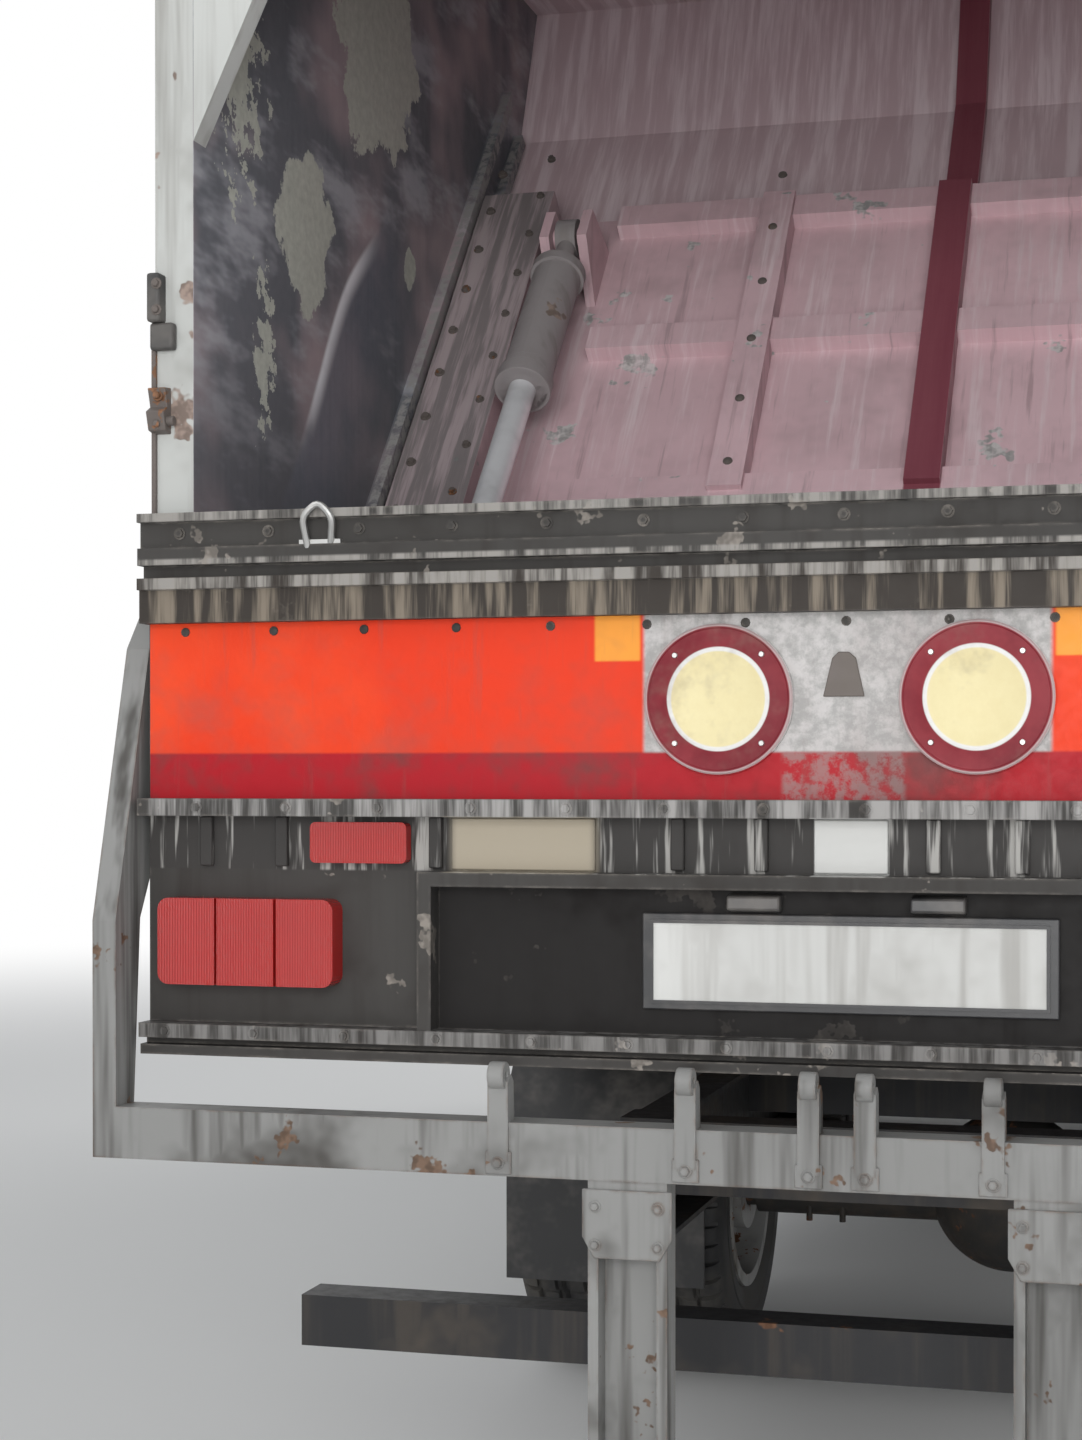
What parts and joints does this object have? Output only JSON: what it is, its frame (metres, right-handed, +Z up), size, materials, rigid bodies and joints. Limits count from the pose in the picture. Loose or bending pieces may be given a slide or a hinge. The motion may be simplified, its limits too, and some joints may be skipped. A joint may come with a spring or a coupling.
{
  "type": "narrow two-axle rear-loading garbage truck",
  "caption": "Compact cab-over garbage truck with a hollow compaction body, lifting tailgate, sliding packer, hinged blade and bin lifter",
  "frame": {"origin": "on the ground, midway along the truck, on its centre plane", "axes": "+Y forward along the truck, +X to its right, +Z up"},
  "size_m": [2.28, 6.7, 3.046],
  "materials": {
    "chassis_paint": "satin black paint, road dirt",
    "axle_paint": "dull black paint",
    "engine_paint": "grey paint, oily",
    "tank_metal": "brushed aluminium",
    "exhaust_metal": "heat-stained steel",
    "guard_plastic": "black moulded plastic",
    "guard_metal": "grey paint",
    "bumper_plastic": "grey moulded plastic",
    "tyre": "worn black rubber",
    "rim_paint": "silver-grey paint",
    "cab_paint": "white paint",
    "glass": "clear tinted glass",
    "interior_plastic": "dark grey moulded plastic",
    "seat_fabric": "dark woven cloth",
    "grille_plastic": "black moulded plastic",
    "lamp_lens": "clear ribbed lens",
    "mirror_plastic": "black moulded plastic",
    "beacon_lens": "amber lens",
    "body_paint": "white paint, dirty",
    "floor_paint": "grey paint, worn",
    "ejector_paint": "grey paint, scraped",
    "tail_paint": "light grey paint, worn",
    "hopper_steel": "worn primer and bare steel",
    "panel_paint": "grey paint, dirty",
    "marking": "red-orange and white reflective panel",
    "tail_lamp": "red lens",
    "packer_paint": "faded pink-mauve primer",
    "blade_steel": "scraped primer and steel",
    "cylinder_paint": "dull grey paint",
    "rod_chrome": "polished chrome",
    "lifter_paint": "grey paint, worn"
  },
  "bodies": {
    "chassis": {"chassis_frame": "chassis_paint", "front_axle": "axle_paint", "rear_axle": "axle_paint", "engine_block": "engine_paint", "driveline": "engine_paint", "fuel_tank": "tank_metal", "battery_box": "guard_plastic", "silencer": "exhaust_metal", "rear_mudguards": "guard_plastic", "side_guards": "guard_metal", "front_bumper": "bumper_plastic", "body_floor": "floor_paint", "body_roof": "body_paint", "body_front_wall": "body_paint", "body_side_left": "body_paint", "body_side_right": "body_paint"},
    "cab": {"cab_shell": "cab_paint", "cab_glass": "glass", "cab_inside": "interior_plastic", "seats": "seat_fabric", "front_grille": "grille_plastic", "head_lamps": "lamp_lens", "mirrors": "mirror_plastic", "beacon": "beacon_lens"},
    "tie_rod": {"tie_rod": "axle_paint"},
    "ejector": {"ejector_plate": "ejector_paint"},
    "tailgate": {"tail_side_left": "tail_paint", "tail_side_right": "tail_paint", "tail_roof": "tail_paint", "hopper_trough": "hopper_steel", "rear_panel": "panel_paint", "marking_panel": "marking", "rear_lamps": "tail_lamp"},
    "carriage": {"packer_carriage": "packer_paint"},
    "blade": {"packer_blade": "blade_steel"},
    "packer_barrels": {"packer_barrels": "cylinder_paint"},
    "packer_rods": {"packer_rods": "rod_chrome"},
    "tail_barrels": {"tail_barrels": "cylinder_paint"},
    "tail_rods": {"tail_rods": "rod_chrome"},
    "lifter": {"bin_lifter": "lifter_paint"},
    "knuckle_left": {"knuckle_left": "axle_paint"},
    "wheel_front_left": {"tyre_front_left": "tyre", "rim_front_left": "rim_paint"},
    "wheel_rear_left": {"tyres_rear_left": "tyre", "rim_rear_left": "rim_paint"},
    "door_left": {"door_left": "cab_paint", "door_glass_left": "glass"},
    "knuckle_right": {"knuckle_right": "axle_paint"},
    "wheel_front_right": {"tyre_front_right": "tyre", "rim_front_right": "rim_paint"},
    "wheel_rear_right": {"tyres_rear_right": "tyre", "rim_rear_right": "rim_paint"},
    "door_right": {"door_right": "cab_paint", "door_glass_right": "glass"}
  },
  "joints": [
    {"name": "cab_tilt", "type": "hinge", "parent": "chassis", "child": "cab", "pos_m": [0, 3.19, 0.65], "axis": [-1, 0, 0], "range_deg": [0, 45]},
    {"name": "door_left_swing", "type": "hinge", "parent": "cab", "child": "door_left", "pos_m": [-0.956, 3.002, 1.2], "axis": [0, 0, -1], "range_deg": [0, 65]},
    {"name": "door_right_swing", "type": "hinge", "parent": "cab", "child": "door_right", "pos_m": [0.956, 3.002, 1.2], "axis": [0, 0, 1], "range_deg": [0, 65]},
    {"name": "steer_left", "type": "hinge", "parent": "chassis", "child": "knuckle_left", "pos_m": [-0.73, 2.2, 0.39], "axis": [0, 0, 1], "range_deg": [-32, 32]},
    {"name": "steer_right", "type": "hinge", "parent": "chassis", "child": "knuckle_right", "pos_m": [0.73, 2.2, 0.39], "axis": [0, 0, 1], "range_deg": [-32, 32]},
    {"name": "tie_rod_turn", "type": "hinge", "parent": "knuckle_left", "child": "tie_rod", "pos_m": [-0.665, 2.05, 0.3], "axis": [0, 0, 1], "range_deg": [-32, 32]},
    {"name": "wheel_front_left_spin", "type": "hinge", "parent": "knuckle_left", "child": "wheel_front_left", "pos_m": [-0.83, 2.2, 0.39], "axis": [1, 0, 0], "continuous": true},
    {"name": "wheel_front_right_spin", "type": "hinge", "parent": "knuckle_right", "child": "wheel_front_right", "pos_m": [0.83, 2.2, 0.39], "axis": [1, 0, 0], "continuous": true},
    {"name": "wheel_rear_left_spin", "type": "hinge", "parent": "chassis", "child": "wheel_rear_left", "pos_m": [-0.765, -1.15, 0.39], "axis": [1, 0, 0], "continuous": true},
    {"name": "wheel_rear_right_spin", "type": "hinge", "parent": "chassis", "child": "wheel_rear_right", "pos_m": [0.765, -1.15, 0.39], "axis": [1, 0, 0], "continuous": true},
    {"name": "ejector_slide", "type": "slide", "parent": "chassis", "child": "ejector", "axis": [0, -1, 0], "range_m": [0, 2.7]},
    {"name": "tailgate_lift", "type": "hinge", "parent": "chassis", "child": "tailgate", "pos_m": [0, -1.48, 3.01], "axis": [-1, 0, 0], "range_deg": [0, 75]},
    {"name": "tail_barrel_swing", "type": "hinge", "parent": "chassis", "child": "tail_barrels", "pos_m": [0, -1.44, 1.45], "axis": [-1, 0, 0], "range_deg": [0, 8]},
    {"name": "tail_rod_slide", "type": "slide", "parent": "tail_barrels", "child": "tail_rods", "axis": [0, -0.3336, 0.9427], "range_m": [0, 0.565]},
    {"name": "carriage_slide", "type": "slide", "parent": "tailgate", "child": "carriage", "axis": [0, 0.6428, 0.766], "range_m": [-0.15, 0.35]},
    {"name": "blade_swing", "type": "hinge", "parent": "carriage", "child": "blade", "pos_m": [0, -2.48358, 1.67491], "axis": [-1, 0, 0], "range_deg": [-12, 75]},
    {"name": "packer_barrel_swing", "type": "hinge", "parent": "carriage", "child": "packer_barrels", "pos_m": [0, -2.10259, 2.30164], "axis": [-1, 0, 0], "range_deg": [-4, 9]},
    {"name": "packer_rod_slide", "type": "slide", "parent": "packer_barrels", "child": "packer_rods", "axis": [0, -0.6766, -0.7364], "range_m": [-0.27, 0.05]},
    {"name": "lifter_swing", "type": "hinge", "parent": "tailgate", "child": "lifter", "pos_m": [0, -3.15, 1.48], "axis": [-1, 0, 0], "range_deg": [0, 150]}
  ],
  "couplings": [
    {"joint": "steer_right", "follows": "steer_left", "ratio": 1},
    {"joint": "tie_rod_turn", "follows": "steer_left", "ratio": -1},
    {"joint": "tail_barrel_swing", "follows": "tailgate_lift", "ratio": 0.1},
    {"joint": "tail_rod_slide", "follows": "tailgate_lift", "m_per_rad": 0.4286},
    {"joint": "packer_barrel_swing", "follows": "blade_swing", "ratio": 0.11},
    {"joint": "packer_rod_slide", "follows": "blade_swing", "m_per_rad": -0.2047}
  ]
}
